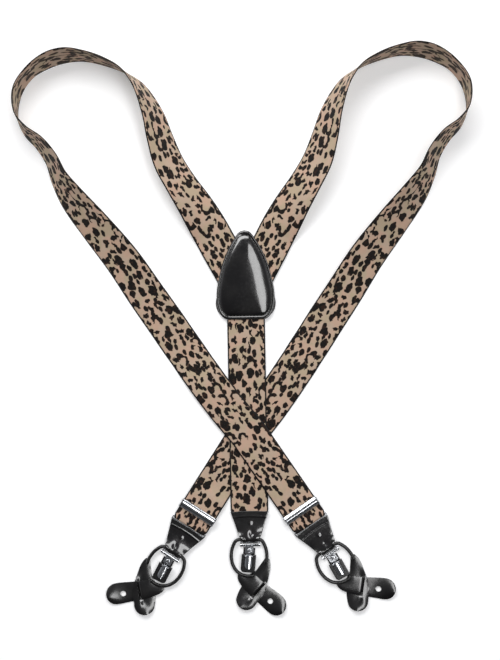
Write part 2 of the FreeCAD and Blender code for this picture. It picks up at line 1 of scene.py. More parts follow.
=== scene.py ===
import json
import math

import bpy
from mathutils import Matrix, Vector


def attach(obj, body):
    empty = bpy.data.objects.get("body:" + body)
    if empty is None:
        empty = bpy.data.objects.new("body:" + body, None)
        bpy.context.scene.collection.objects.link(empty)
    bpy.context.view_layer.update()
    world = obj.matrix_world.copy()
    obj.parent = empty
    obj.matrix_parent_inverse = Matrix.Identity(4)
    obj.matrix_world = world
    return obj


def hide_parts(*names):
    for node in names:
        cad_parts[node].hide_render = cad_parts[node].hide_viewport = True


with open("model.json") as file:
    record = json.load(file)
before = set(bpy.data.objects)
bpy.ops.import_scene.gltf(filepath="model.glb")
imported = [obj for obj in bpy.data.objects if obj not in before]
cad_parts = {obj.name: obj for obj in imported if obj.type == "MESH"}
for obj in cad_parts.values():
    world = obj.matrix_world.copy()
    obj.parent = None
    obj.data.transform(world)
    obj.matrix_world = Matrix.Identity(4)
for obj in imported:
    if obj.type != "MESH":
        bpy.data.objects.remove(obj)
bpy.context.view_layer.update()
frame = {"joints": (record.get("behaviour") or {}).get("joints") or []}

MM = 0.001
joints = {joint["name"]: joint for joint in frame["joints"]}
ENDS = ("back", "left", "right")
FRONTS = ("left", "right")

# Table, light and camera.
# The suspenders lie on a plain white table under a large soft light beyond the loops.
# A second, dimmer panel on the right shows in the glossy leather.

bpy.ops.object.select_all(action="DESELECT")
bpy.ops.mesh.primitive_plane_add(size=8, location=(0, 0, 0))
table = bpy.context.object
table.name = "table"

TABLE_WHITE = (0.82, 0.82, 0.825)
TABLE_GLOW = 0.27


def plain_material(name, colour, roughness, **sockets):
    """A new material with its Principled shader's own values set."""
    material = bpy.data.materials.new(name)
    material.use_nodes = True
    shader = material.node_tree.nodes["Principled BSDF"]
    shader.inputs["Base Color"].default_value = (*colour, 1)
    shader.inputs["Roughness"].default_value = roughness
    for socket, value in sockets.items():
        shader.inputs[socket.replace("_", " ")].default_value = value
    return material


table_finish = plain_material("white_table", TABLE_WHITE, 0.85, Emission_Strength=TABLE_GLOW)
table_shader = table_finish.node_tree.nodes["Principled BSDF"]
table_shader.inputs["Emission Color"].default_value = (1, 1, 1, 1)
table.data.materials.append(table_finish)


def soft_light(name, place, aim, width, height, watts):
    bpy.ops.object.light_add(type="AREA", location=place)
    lamp = bpy.context.object
    lamp.name = name
    lamp.data.shape = "RECTANGLE"
    lamp.data.size = width
    lamp.data.size_y = height
    lamp.data.energy = watts
    direction = Vector(aim) - Vector(place)
    lamp.rotation_euler = direction.to_track_quat("-Z", "Y").to_euler()
    return lamp


KEY_SIZE = (1.7, 0.7)
KEY_WATTS = 27
PANEL_SIZE = (1.5, 0.45)
PANEL_WATTS = 13
soft_light("key_light", (-0.35, 1.15, 1.4), (0, -0.05, 0), *KEY_SIZE, KEY_WATTS)
soft_light("flank_panel", (0.52, -0.1, 1.78), (0.05, -0.1, 0), *PANEL_SIZE, PANEL_WATTS)

# the room is bright beyond the loops, dim on the near side and dark overhead
HORIZON = (0.95, 0.97, 1.0)
OVERHEAD = (0.16, 0.163, 0.17)
FADE_HEIGHTS = (0.35, 0.85)
NEAR_SIDE = (-0.7, 0.2)
NEAR_LEVEL = 0.12
ROOM_STRENGTH = 0.8
world = bpy.data.worlds.new("studio")
world.use_nodes = True
room = world.node_tree
direction = room.nodes.new("ShaderNodeTexCoord").outputs["Generated"]
height = room.nodes.new("ShaderNodeSeparateXYZ")
room.links.new(direction, height.inputs[0])
fade = room.nodes.new("ShaderNodeMapRange")
fade.interpolation_type = "SMOOTHSTEP"
fade.inputs["From Min"].default_value = FADE_HEIGHTS[0]
fade.inputs["From Max"].default_value = FADE_HEIGHTS[1]
room.links.new(height.outputs["Z"], fade.inputs["Value"])
tint = room.nodes.new("ShaderNodeMix")
tint.data_type = "RGBA"
room.links.new(fade.outputs[0], tint.inputs[0])
tint.inputs[6].default_value = (*HORIZON, 1)
tint.inputs[7].default_value = (*OVERHEAD, 1)
near = room.nodes.new("ShaderNodeMapRange")
near.interpolation_type = "SMOOTHSTEP"
near.inputs["From Min"].default_value = NEAR_SIDE[0]
near.inputs["From Max"].default_value = NEAR_SIDE[1]
near.inputs["To Min"].default_value = NEAR_LEVEL
room.links.new(height.outputs["Y"], near.inputs["Value"])
dimmed = room.nodes.new("ShaderNodeVectorMath")
dimmed.operation = "SCALE"
room.links.new(tint.outputs[2], dimmed.inputs[0])
room.links.new(near.outputs[0], dimmed.inputs["Scale"])
room.links.new(dimmed.outputs[0], room.nodes["Background"].inputs["Color"])
room.nodes["Background"].inputs["Strength"].default_value = ROOM_STRENGTH
scene = bpy.context.scene
scene.world = world
scene.view_settings.view_transform = "Standard"
scene.view_settings.look = "None"

CAMERA_HEIGHT = 1.5
CAMERA_PLACE = (3.5 * MM, -51.2 * MM)
VIEW_HEIGHT = 0.6138
CAMERA_ROLL = -1.05
bpy.ops.object.camera_add(location=(*CAMERA_PLACE, CAMERA_HEIGHT))
camera = bpy.context.object
camera.data.lens = camera.data.sensor_width * CAMERA_HEIGHT / VIEW_HEIGHT
camera.rotation_euler = (0, 0, math.radians(CAMERA_ROLL))
scene.camera = camera

# Printed elastic webbing: the two shoulder straps.
# Each is one flat woven band, 35 mm wide, that leaves the back patch flat, rolls onto its edge
# over the shoulder loop, lies flat again down the front and turns round the loop plate's bar.

STRAP_WIDTH = 35 * MM
STRAP_THICK = 1.35 * MM
BACK_LEVEL = 1.45 * MM
TOP_LEVEL = 2.95 * MM
END_LEVEL = 2.7 * MM

# middle line of the strap with its loop at -X: x, y, tilt in degrees, height of its lower edge
ROUTE = [
    (-4.0, -10.0, 0, 1.45),
    (-13.5, 7.5, 0, 1.45),
    (-22.5, 24.0, 0, 1.45),
    (-29.0, 36.5, 0, 1.45),
    (-35.5, 48.5, 9, 0.75),
    (-45.0, 65.0, 22, 0),
    (-57.0, 84.0, 33, 0),
    (-68.5, 104.5, 38, 0),
    (-76.0, 127.0, 47, 0),
    (-82.5, 150.0, 57, 0),
    (-94.5, 175.0, 72, 0),
    (-110.0, 190.0, 88, 0),
    (-127.5, 198.5, 95, 0),
    (-145.0, 203.5, 99, 0),
    (-162.0, 204.5, 105, 0),
    (-178.5, 200.0, 105, 0),
    (-195.5, 188.5, 99, 0),
    (-206.5, 172.0, 97, 0),
    (-208.0, 151.0, 88, 0),
    (-200.0, 136.0, 78, 0),
    (-187.0, 124.0, 70, 0),
    (-176.5, 109.0, 65, 0),
    (-169.5, 91.5, 58, 0),
    (-157.5, 72.0, 44, 0),
    (-137.0, 46.0, 31, 0),
    (-113.0, 15.0, 19, 0),
    (-92.0, -17.0, 9, 0),
    (-72.5, -46.0, 2, 0),
    (-63.0, -60.5, 0, 0),
    (-53.5, -74.5, 0, 0),
]
# where the strap climbs onto the back strap: x, y, share of the climb
CLIMB = [(-49.0, -81.5, 0.16), (-44.5, -88.0, 0.5), (-40.0, -94.5, 0.84), (-35.5, -101.0, 1)]
CLIMB += [(-26.5, -113.5, 1), (-17.5, -125.5, 1)]
LEG_START = 104 * MM
LEVEL_FROM = 47 * MM
LEVEL_TO = 35 * MM
FOLD_START = 6.5 * MM
FOLD_BAR = (3.6 * MM, 2.05 * MM)
FOLD_RADIUS = 1.35 * MM
FOLD_HALF = 16.6 * MM
TAIL_LENGTH = 20.4 * MM
STATION_STEP = 2.5 * MM
LEG_STEPS = 22
TAIL_SHARES = (0.12, 0.3, 0.5, 0.75, 1.0)
EYE_DOWN = 25.0 * MM
UP = Vector((0, 0, 1))


def end_frame(end):
    """Origin at the leather tab's top edge, with the directions across and down the strap."""
    swing = joints["loop_swing_" + end]
    lift = Vector(swing["axis"])
    down = UP.cross(lift)
    across = lift if end == "left" else -lift
    origin = Vector(swing["pos_m"]) - down * EYE_DOWN
    origin.z = 0
    return origin, across, down


def smooth(share):
    share = min(max(share, 0.0), 1.0)
    return share * share * (3 - 2 * share)


def curve_at(points, knots, at):
    """A smooth curve through points (tuples of numbers) at the distance given."""
    last = len(points) - 1
    index = 0
    while index < last - 1 and at > knots[index + 1]:
        index += 1

    def slope(place):
        a, b = max(place - 1, 0), min(place + 1, last)
        return [(q - p) / (knots[b] - knots[a]) for p, q in zip(points[a], points[b])]

    span = knots[index + 1] - knots[index]
    t = (at - knots[index]) / span
    weights = (2 * t**3 - 3 * t**2 + 1, t**3 - 2 * t**2 + t, 3 * t**2 - 2 * t**3, t**3 - t**2)
    rows = zip(points[index], slope(index), points[index + 1], slope(index + 1))
    return [
        weights[0] * p + weights[1] * m * span + weights[2] * q + weights[3] * n * span
        for p, m, q, n in rows
    ]


def distances(points, dimensions):
    """How far along the line each point is."""
    total, result = 0.0, [0.0]
    for before, after in zip(points, points[1:]):
        total += math.dist(before[:dimensions], after[:dimensions])
        result.append(total)
    return result


def shoulder_route(side):
    """(middle, across, face normal, half width) all along one shoulder strap."""
    crossing = TOP_LEVEL if side > 0 else 0.0
    points = [(x * MM, y * MM, math.radians(tilt), low * MM) for x, y, tilt, low in ROUTE]
    points += [(x * MM, y * MM, 0, crossing * share) for x, y, share in CLIMB]
    origin, across, down = end_frame("right")
    for index in range(LEG_STEPS):
        up = LEG_START + (FOLD_START - LEG_START) * index / (LEG_STEPS - 1)
        place = origin - down * up
        share = smooth((LEVEL_FROM - up) / (LEVEL_FROM - LEVEL_TO))
        points.append((place.x, place.y, 0, crossing + (END_LEVEL - crossing) * share))
    knots = distances(points, 2)
    count = round(knots[-1] / STATION_STEP)
    result = []
    for index in range(count + 1):
        at = knots[-1] * index / count
        x, y, tilt, low = curve_at(points, knots, at)
        ahead = curve_at(points, knots, min(at + MM, knots[-1]))
        behind = curve_at(points, knots, max(at - MM, 0))
        along = Vector((ahead[0] - behind[0], ahead[1] - behind[1], 0)).normalized()
        inward = UP.cross(along)
        low = max(low, 0)
        height = low + STRAP_WIDTH / 2 * math.sin(tilt) + STRAP_THICK / 2 * abs(math.cos(tilt))
        middle = Vector((x, y, height))
        wide = inward * math.cos(tilt) + UP * math.sin(tilt)
        normal = UP * math.cos(tilt) - inward * math.sin(tilt)
        result.append((middle, wide, normal, STRAP_WIDTH / 2))
    # the turn round the bar, and the tail behind
    bar = origin - down * FOLD_BAR[0] + UP * FOLD_BAR[1]
    wide = across
    for degrees in range(0, 181, 15):
        angle = math.radians(degrees)
        normal = UP * math.cos(angle) + down * math.sin(angle)
        result.append((bar + normal * FOLD_RADIUS, wide, normal, FOLD_HALF))
    for share in TAIL_SHARES:
        middle = bar - UP * FOLD_RADIUS - down * TAIL_LENGTH * share
        result.append((middle, wide, -UP, FOLD_HALF))
    return result


def webbing_piece(name, route):
    """A woven band along the route, with rounded selvedges.  Its UV map runs across
    (0 to 1 on the face, 3 to 4 on the back) and along, both in strap widths."""
    columns = 14
    shares = [0.5 - 0.5 * math.cos(math.pi * i / columns) for i in range(columns + 1)]
    shares = [0.35 * share + 0.65 * i / columns for i, share in enumerate(shares)]
    ring = [(share, 1) for share in shares] + [(share, -1) for share in shares[-2:0:-1]]
    vertices, along, total = [], [], 0.0
    before = None
    for middle, wide, normal, half in route:
        total += (middle - before).length if before else 0.0
        before = middle
        along.append(total / STRAP_WIDTH)
        for share, face in ring:
            lift = STRAP_THICK / 2 * face * (1 - abs(2 * share - 1) ** 16) ** 0.5
            vertices.append(middle + wide * (2 * share - 1) * half + normal * lift)
    size = len(ring)
    faces, coordinates = [], []
    for row in range(len(route) - 1):
        for column in range(size):
            right = (column + 1) % size
            near, far = row * size, (row + 1) * size
            faces.append((near + column, near + right, far + right, far + column))
            on_back = ring[column][1] < 0 or ring[right][1] < 0
            shift = 3 if on_back else 0
            left_u, right_u = ring[column][0] + shift, ring[right][0] + shift
            coordinates += [(left_u, along[row]), (right_u, along[row])]
            coordinates += [(right_u, along[row + 1]), (left_u, along[row + 1])]
    for row in (0, len(route) - 1):
        cap = [row * size + column for column in range(size)]
        cap = cap if row == 0 else cap[::-1]
        faces.append(cap[::-1])
        coordinates += [(0.01, along[row])] * size
    mesh = bpy.data.meshes.new(name)
    mesh.from_pydata(vertices, [], faces)
    layer = mesh.uv_layers.new(name="webbing")
    for loop, pair in zip(layer.data, coordinates):
        loop.uv = pair
    mesh.polygons.foreach_set("use_smooth", [True] * len(mesh.polygons))
    piece = bpy.data.objects.new(name, mesh)
    bpy.context.collection.objects.link(piece)
    return piece, total


def srgb(red, green, blue):
    """A colour as a painter reads it, turned to the linear values a shader takes."""
    values = [value / 255 for value in (red, green, blue)]
    return tuple(v / 12.92 if v <= 0.04045 else ((v + 0.055) / 1.055) ** 2.4 for v in values)


class Pattern:
    """Adds nodes to one material and joins them by their values."""

    def __init__(self, material):
        self.tree = material.node_tree
        self.shader = self.tree.nodes["Principled BSDF"]

    def put(self, value, socket):
        if hasattr(value, "is_linked"):
            self.tree.links.new(value, socket)
        else:
            socket.default_value = value

    def add(self, kind, inputs=(), **settings):
        made = self.tree.nodes.new("ShaderNode" + kind)
        for name, value in settings.items():
            setattr(made, name, value)
        for name, value in dict(inputs).items():
            self.put(value, made.inputs[name])
        return made

    def math(self, operation, *values):
        made = self.tree.nodes.new("ShaderNodeMath")
        made.operation = operation
        for value, socket in zip(values, made.inputs):
            self.put(value, socket)
        return made.outputs[0]

    def ramp(self, value, low, high, start=0.0, end=1.0):
        """Rises smoothly from start to end as value goes from low to high."""
        made = self.add("MapRange", interpolation_type="SMOOTHSTEP")
        for place, number in enumerate((value, low, high, start, end)):
            self.put(number, made.inputs[place])
        return made.outputs[0]

    def mix(self, share, one, other):
        made = self.add("Mix", data_type="RGBA")
        self.put(share, made.inputs[0])
        for value, place in ((one, 6), (other, 7)):
            self.put(value if hasattr(value, "is_linked") else (*value, 1), made.inputs[place])
        return made.outputs[2]

    def vector(self, operation, one, other):
        made = self.add("VectorMath", operation=operation)
        self.put(one, made.inputs[0])
        self.put(other, made.inputs[1])
        return made.outputs[0]

    def bump(self, height, strength, distance):
        made = self.add("Bump", {"Height": height, "Strength": strength, "Distance": distance})
        self.put(made.outputs[0], self.shader.inputs["Normal"])


TAN = srgb(188, 165, 145)
TAN_PINK = srgb(193, 162, 141)
TAN_OLIVE = srgb(182, 163, 138)
SPOT_BLACK = srgb(15, 12, 11)
SPOT_BROWN = srgb(42, 26, 19)
SELVEDGE_BLACK = srgb(24, 22, 22)


LARGE_CELLS = (3.6, 2.5)
SMALL_CELLS = (6.0, 3.6)
RIB_PITCH = 0.9 * MM
PICK_PITCH = 0.62 * MM


def printed_webbing():
    """Tan weave with black rosettes, crescents and spots drawn out along the strap."""
    material = plain_material("leopard_webbing", TAN, 0.8)
    p = Pattern(material)
    place = p.add("UVMap", uv_map="webbing").outputs[0]
    parts = p.add("SeparateXYZ", {"Vector": place})
    back = p.math("GREATER_THAN", parts.outputs[0], 1.9)
    across = p.math("SUBTRACT", parts.outputs[0], p.math("MULTIPLY", back, 3))
    along = p.math("MULTIPLY", parts.outputs[1], p.math("SUBTRACT", 1, p.math("MULTIPLY", back, 0.3)))
    along = p.math("ADD", along, p.math("MULTIPLY", back, 7.3))
    flat = p.add("CombineXYZ", {"X": across, "Y": along}).outputs[0]

    def cells(band, columns, rows, shake):
        scaled = p.vector("MULTIPLY", band, (columns, rows, 1))
        wobble = p.add("TexNoise", {"Vector": band, "Scale": 7.0, "Detail": 1.0}, noise_dimensions="2D")
        off_middle = p.vector("SUBTRACT", wobble.outputs["Color"], (0.5, 0.5, 0.5))
        spot = p.vector("ADD", scaled, p.vector("MULTIPLY", off_middle, (shake, shake, 0)))
        inputs = {"Vector": spot, "Scale": 1.0, "Randomness": 0.8}
        return spot, p.add("TexVoronoi", inputs, voronoi_dimensions="2D")

    spot, grid = cells(flat, *LARGE_CELLS, 0.3)
    chance = p.add("SeparateColor", {"Color": grid.outputs["Color"]})
    reach = grid.outputs["Distance"]
    own = p.add("SeparateXYZ", {"Vector": p.vector("SUBTRACT", spot, grid.outputs["Position"])})
    angle = p.math("ARCTAN2", own.outputs[1], own.outputs[0])
    start = p.math("MULTIPLY", chance.outputs[0], 6.283)
    fine = p.add("TexNoise", {"Vector": flat, "Scale": 10.0, "Detail": 1.0}, noise_dimensions="2D")
    ragged = p.math("MULTIPLY", p.math("SUBTRACT", fine.outputs[0], 0.5), 0.17)
    rough_reach = p.math("ADD", reach, ragged)
    # a ring broken into two or three dashes, or open on one side
    radius = p.math("ADD", 0.3, p.math("MULTIPLY", chance.outputs[1], 0.1))
    width = p.math("ADD", 0.11, p.math("MULTIPLY", chance.outputs[2], 0.05))
    off_ring = p.math("ABSOLUTE", p.math("SUBTRACT", rough_reach, radius))
    ring = p.ramp(p.math("SUBTRACT", off_ring, width), 0.025, -0.025)
    thirds = p.math("COSINE", p.math("ADD", p.math("MULTIPLY", angle, 3), start))
    once = p.math("COSINE", p.math("ADD", angle, start))
    has_thirds = p.math("GREATER_THAN", chance.outputs[0], 0.35)
    one_gap = p.math("MULTIPLY", once, p.math("SUBTRACT", 1, has_thirds))
    gaps = p.math("ADD", p.math("MULTIPLY", thirds, has_thirds), one_gap)
    ring = p.math("MULTIPLY", ring, p.ramp(gaps, -0.6, -0.35))
    blob_size = p.math("ADD", 0.26, p.math("MULTIPLY", chance.outputs[1], 0.16))
    blob = p.ramp(p.math("SUBTRACT", rough_reach, blob_size), 0.025, -0.025)
    is_ring = p.math("GREATER_THAN", chance.outputs[2], 0.36)
    blob = p.math("MULTIPLY", blob, p.math("SUBTRACT", 1, is_ring))
    large = p.math("ADD", p.math("MULTIPLY", ring, is_ring), blob)

    # small spots, kept whole, where their middles lie between the large ones
    _, small_grid = cells(flat, *SMALL_CELLS, 0.3)
    middle = p.vector("DIVIDE", small_grid.outputs["Position"], (*SMALL_CELLS, 1))
    _, around = cells(middle, *LARGE_CELLS, 0.3)
    between = p.math("GREATER_THAN", around.outputs["Distance"], 0.5)
    small_chance = p.add("SeparateColor", {"Color": small_grid.outputs["Color"]})
    small_size = p.math("ADD", 0.24, p.math("MULTIPLY", small_chance.outputs[1], 0.16))
    small = p.ramp(p.math("SUBTRACT", small_grid.outputs["Distance"], small_size), 0.04, -0.04)
    small = p.math("MULTIPLY", small, between)
    spots = p.math("MAXIMUM", large, small)

    drift = p.add("TexNoise", {"Vector": flat, "Scale": 2.4, "Detail": 2.0}, noise_dimensions="2D")
    drift_parts = p.add("SeparateColor", {"Color": drift.outputs["Color"]})
    ground = p.mix(p.ramp(drift_parts.outputs[0], 0.38, 0.62), TAN, TAN_PINK)
    ground = p.mix(p.ramp(drift_parts.outputs[1], 0.46, 0.66), ground, TAN_OLIVE)
    ink = p.mix(p.ramp(fine.outputs[0], 0.5, 0.72), SPOT_BLACK, SPOT_BROWN)

    # the weave: ribs along the band, picks across it
    ribs = p.math("SINE", p.math("MULTIPLY", across, STRAP_WIDTH / RIB_PITCH * 2 * math.pi))
    picks = p.math("SINE", p.math("MULTIPLY", along, STRAP_WIDTH / PICK_PITCH * 2 * math.pi))
    weave = p.math("MULTIPLY", ribs, picks)
    drawn_out = p.vector("MULTIPLY", flat, (1, 0.35, 1))
    yarn = p.add("TexNoise", {"Vector": drawn_out, "Scale": 120.0, "Detail": 2.0}, noise_dimensions="2D")
    stray = p.ramp(p.math("ADD", yarn.outputs[0], p.math("MULTIPLY", weave, 0.05)), 0.55, 0.75)
    spots_woven = p.math("MULTIPLY", spots, p.math("SUBTRACT", 1, p.math("MULTIPLY", stray, 0.06)))
    spots_woven = p.math("MULTIPLY", spots_woven, p.math("SUBTRACT", 1, p.math("MULTIPLY", back, 0.06)))
    colour = p.mix(spots_woven, ground, ink)
    # painted shade: the colour is darkened most where the weave's ribs and picks sit low
    shade = p.math("ADD", 0.93, p.math("MULTIPLY", weave, 0.06))
    shade = p.add("CombineXYZ", {"X": shade, "Y": shade, "Z": shade}).outputs[0]
    colour = p.vector("MULTIPLY", colour, shade)
    from_edge = p.math("MINIMUM", across, p.math("SUBTRACT", 1, across))
    edge = p.ramp(p.math("ADD", from_edge, p.math("MULTIPLY", ragged, 0.08)), 0.042, 0.03)
    colour = p.mix(edge, colour, SELVEDGE_BLACK)
    p.put(colour, p.shader.inputs["Base Color"])
    p.put(p.math("ADD", 0.78, p.math("MULTIPLY", weave, 0.06)), p.shader.inputs["Roughness"])
    p.shader.inputs["Sheen Weight"].default_value = 0.04
    p.shader.inputs["Specular IOR Level"].default_value = 0.15
    p.bump(p.math("ADD", weave, p.math("MULTIPLY", yarn.outputs[0], 0.8)), 0.5, 0.00012)
    return material


leopard = printed_webbing()


def mirror_x(piece):
    piece.data.transform(Matrix.Scale(-1, 4, (1, 0, 0)))
    piece.data.flip_normals()


TRIM_REACH = (45 * MM, 30 * MM)
TRIM_CLEAR = 0.05 * MM


def trim_at_middle(piece, side):
    """Cuts off what crosses the patch's middle line, and closes the cut."""
    bpy.ops.object.select_all(action="DESELECT")
    bpy.context.view_layer.objects.active = piece
    piece.select_set(True)
    bpy.ops.object.mode_set(mode="EDIT")
    bpy.ops.mesh.select_all(action="DESELECT")
    bpy.ops.object.mode_set(mode="OBJECT")
    for polygon in piece.data.polygons:
        centre = polygon.center
        polygon.select = abs(centre.y) < TRIM_REACH[1] and abs(centre.x) < TRIM_REACH[0]
    bpy.ops.object.mode_set(mode="EDIT")
    bpy.ops.mesh.bisect(
        plane_co=(-TRIM_CLEAR * side, 0, 0), plane_no=(side, 0, 0), use_fill=True, clear_outer=True
    )
    bpy.ops.object.mode_set(mode="OBJECT")


for side, word in ((1, "left"), (-1, "right")):
    strap, length = webbing_piece("webbing_shoulder_" + word, shoulder_route(side))
    if side < 0:
        mirror_x(strap)
    trim_at_middle(strap, side)
    strap.data.materials.append(leopard)
    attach(strap, "webbing")
    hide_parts("shoulder_strap_" + word)

# Back strap.
# A shorter length of the same webbing, sewn under the patch above and into the leather tab below.

back_origin = end_frame("back")[0]
BACK_STRAP_TOP = -19.5 * MM
BACK_SEWN_IN = 7.8 * MM
BACK_STRAP_FOOT = back_origin.y - BACK_SEWN_IN
BACK_STATIONS = 84
SEWN_CORNER = 0.6 * MM
SEWN_TAPER = 0.36
BACK_PRINT_START = 41.7
back_route = []
for index in range(BACK_STATIONS):
    y = BACK_STRAP_TOP + (BACK_STRAP_FOOT - BACK_STRAP_TOP) * index / (BACK_STATIONS - 1)
    middle = Vector((0, y, BACK_LEVEL + STRAP_THICK / 2))
    into_tab = max(back_origin.y - y, 0)
    half = STRAP_WIDTH / 2 - min(into_tab, SEWN_CORNER) - SEWN_TAPER * into_tab
    back_route.append((middle, Vector((1, 0, 0)), UP, half))
back_strap, length = webbing_piece("webbing_back", back_route)
for loop in back_strap.data.uv_layers["webbing"].data:
    loop.uv[1] += BACK_PRINT_START
back_strap.data.materials.append(leopard)
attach(back_strap, "webbing")
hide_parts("back_strap")

# Back patch.
# A shield of black patent leather, moulded to a low dome inside a stitched rim.  Its lining
# lies behind the three straps' ends.

PATENT_BLACK = srgb(14, 13, 14)
PATCH_FLANK = [(0, 41.4), (4.6, 40.2), (8.3, 35.9), (12.2, 30.0), (15.8, 23.4), (21.2, 10.5)]
PATCH_FLANK += [(24.6, -3.0), (26.5, -13.0), (27.0, -21.0), (26.3, -29.0), (23.7, -36.4)]
PATCH_FLANK += [(19.0, -40.8), (13.0, -41.4), (0, -41.4)]
PATCH_MIDDLE = Vector((0, -6 * MM))
PATCH_POINTS = 120
# share of the way out from the middle, and height
PATCH_RINGS = [(1.0, 1.4), (1.0, 2.6), (0.998, 3.7), (0.985, 4.25), (0.965, 4.45), (0.94, 4.4)]
PATCH_RINGS += [(0.92, 4.1), (0.905, 3.95), (0.89, 4.15), (0.865, 4.55), (0.82, 5.05), (0.7, 5.85)]
PATCH_RINGS += [(0.5, 6.7), (0.3, 7.15), (0.12, 7.3)]


def patent_leather(name, grain=1.0, film=0.06):
    """Black leather under a clear glossy film, faintly uneven, with wear on the gloss."""
    material = plain_material(name, PATENT_BLACK, 0.2, Coat_Weight=1.0, Coat_Roughness=film)
    p = Pattern(material)
    place = p.add("TexCoord").outputs["Object"]
    waves = p.add("TexNoise", {"Vector": place, "Scale": 90.0, "Detail": 0.0})
    pores = p.add("TexVoronoi", {"Vector": place, "Scale": 1500.0}, feature="F1")
    scuffs = p.add("TexNoise", {"Vector": place, "Scale": 420.0, "Detail": 5.0, "Roughness": 0.7})
    p.put(p.ramp(scuffs.outputs[0], 0.45, 0.75, 0.16, 0.26), p.shader.inputs["Roughness"])
    tone = p.mix(p.ramp(waves.outputs[0], 0.35, 0.7), PATENT_BLACK, srgb(24, 23, 23))
    p.put(tone, p.shader.inputs["Base Color"])
    height = p.math("ADD", waves.outputs[0], p.math("MULTIPLY", pores.outputs["Distance"], 0.12 * grain))
    p.bump(height, 0.06, 0.0003)
    return material


patent = patent_leather("patent_leather")


def patch_outline(count):
    """Evenly spaced points round the shield, in metres."""
    flank = [(x * MM, y * MM) for x, y in PATCH_FLANK]
    loop = flank + [(-x, y) for x, y in flank[-2:0:-1]] + flank[:1]
    knots = distances(loop, 2)
    return [Vector(curve_at(loop, knots, knots[-1] * i / count)) for i in range(count)]


def active_mesh(name):
    """The primitive just added, named, with everything else deselected."""
    piece = bpy.context.object
    piece.name = name
    piece.data.name = name
    return piece


bpy.ops.object.select_all(action="DESELECT")
bpy.ops.mesh.primitive_circle_add(vertices=PATCH_POINTS, radius=1, fill_type="NOTHING")
patch = active_mesh("patch")
outline = patch_outline(PATCH_POINTS)
for vertex, spot in zip(patch.data.vertices, outline):
    vertex.co = (spot.x, spot.y, PATCH_RINGS[0][1] * MM)
bpy.ops.object.mode_set(mode="EDIT")
before = 1.0
for share, height in PATCH_RINGS[1:]:
    bpy.ops.mesh.select_all(action="DESELECT")
    bpy.ops.object.mode_set(mode="OBJECT")
    total = len(patch.data.vertices)
    for vertex in patch.data.vertices:
        vertex.select = vertex.index >= total - PATCH_POINTS
    for edge in patch.data.edges:
        edge.select = all(v >= total - PATCH_POINTS for v in edge.vertices)
    bpy.ops.object.mode_set(mode="EDIT")
    bpy.ops.mesh.extrude_edges_move()
    bpy.ops.object.mode_set(mode="OBJECT")
    for vertex in [v for v in patch.data.vertices if v.select]:
        flat = PATCH_MIDDLE + (Vector(vertex.co[:2]) - PATCH_MIDDLE) * share / before
        vertex.co = (flat.x, flat.y, height * MM)
    before = share
    bpy.ops.object.mode_set(mode="EDIT")
bpy.ops.mesh.fill()
bpy.ops.mesh.select_all(action="SELECT")
bpy.ops.mesh.normals_make_consistent(inside=False)
bpy.ops.object.mode_set(mode="OBJECT")
bpy.ops.object.shade_smooth()
patch.data.materials.append(patent)
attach(patch, "webbing")
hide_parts("patch_cover")

# Patch stitching.
# A row of waxed black thread lies in the groove inside the patch's rim.  Each stitch dips into
# the leather at both its ends.

STITCH_SHARE = 0.905
STITCH_COUNT = 66
STITCH_UP = 4.15 * MM
STITCH_SIZE = (1.15 * MM, 0.36 * MM, 0.32 * MM)


def waxed_thread():
    """Twisted black thread with a dull wax shine, its twist's raised bands coloured lighter as a painted
    highlight.
    """
    material = plain_material("waxed_thread", srgb(38, 36, 35), 0.5)
    p = Pattern(material)
    place = p.add("TexCoord").outputs["Object"]
    inputs = {"Vector": place, "Scale": 900.0, "Distortion": 1.0}
    twist_and_painted_sheen = p.add("TexWave", inputs, bands_direction="DIAGONAL")
    # painted highlight: the raised bands of the twist are coloured light grey over the thread's black
    p.put(p.mix(twist_and_painted_sheen.outputs[0], srgb(24, 23, 22), srgb(74, 72, 70)), p.shader.inputs["Base Color"])
    p.bump(twist_and_painted_sheen.outputs[0], 0.4, 0.0001)
    return material


groove = patch_outline(STITCH_COUNT)
stitches = []
for index, spot in enumerate(groove):
    here = PATCH_MIDDLE + (spot - PATCH_MIDDLE) * STITCH_SHARE
    ahead = groove[(index + 1) % STITCH_COUNT] - groove[index - 1]
    bpy.ops.object.select_all(action="DESELECT")
    bpy.ops.mesh.primitive_uv_sphere_add(segments=8, ring_count=6, radius=1)
    stitch = active_mesh("stitch")
    turn = Matrix.Rotation(math.atan2(ahead.y, ahead.x), 4, "Z")
    place = Matrix.Translation((here.x, here.y, STITCH_UP))
    stitch.data.transform(place @ turn @ Matrix.Diagonal((*STITCH_SIZE, 1)))
    stitches.append(stitch)
bpy.ops.object.select_all(action="DESELECT")
for stitch in stitches:
    stitch.select_set(True)
bpy.context.view_layer.objects.active = stitches[0]
bpy.ops.object.join()
stitching = active_mesh("patch_stitching")
bpy.ops.object.shade_smooth()
stitching.data.materials.append(waxed_thread())
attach(stitching, "webbing")

# Patch lining.
# A thinner panel of the same leather, flesh side down, stitched to the cover round its edge.


def matte_leather():
    """Grained black lining leather without a gloss coat."""
    material = plain_material("lining_leather", srgb(34, 31, 30), 0.62)
    p = Pattern(material)
    place = p.add("TexCoord").outputs["Object"]
    grain = p.add("TexVoronoi", {"Vector": place, "Scale": 900.0})
    clouds = p.add("TexNoise", {"Vector": place, "Scale": 90.0, "Detail": 4.0})
    tone = p.mix(p.ramp(clouds.outputs[0], 0.3, 0.7), srgb(26, 24, 23), srgb(44, 40, 38))
    p.put(tone, p.shader.inputs["Base Color"])
    p.bump(p.math("ADD", grain.outputs["Distance"], clouds.outputs[0]), 0.5, 0.0002)
    return material


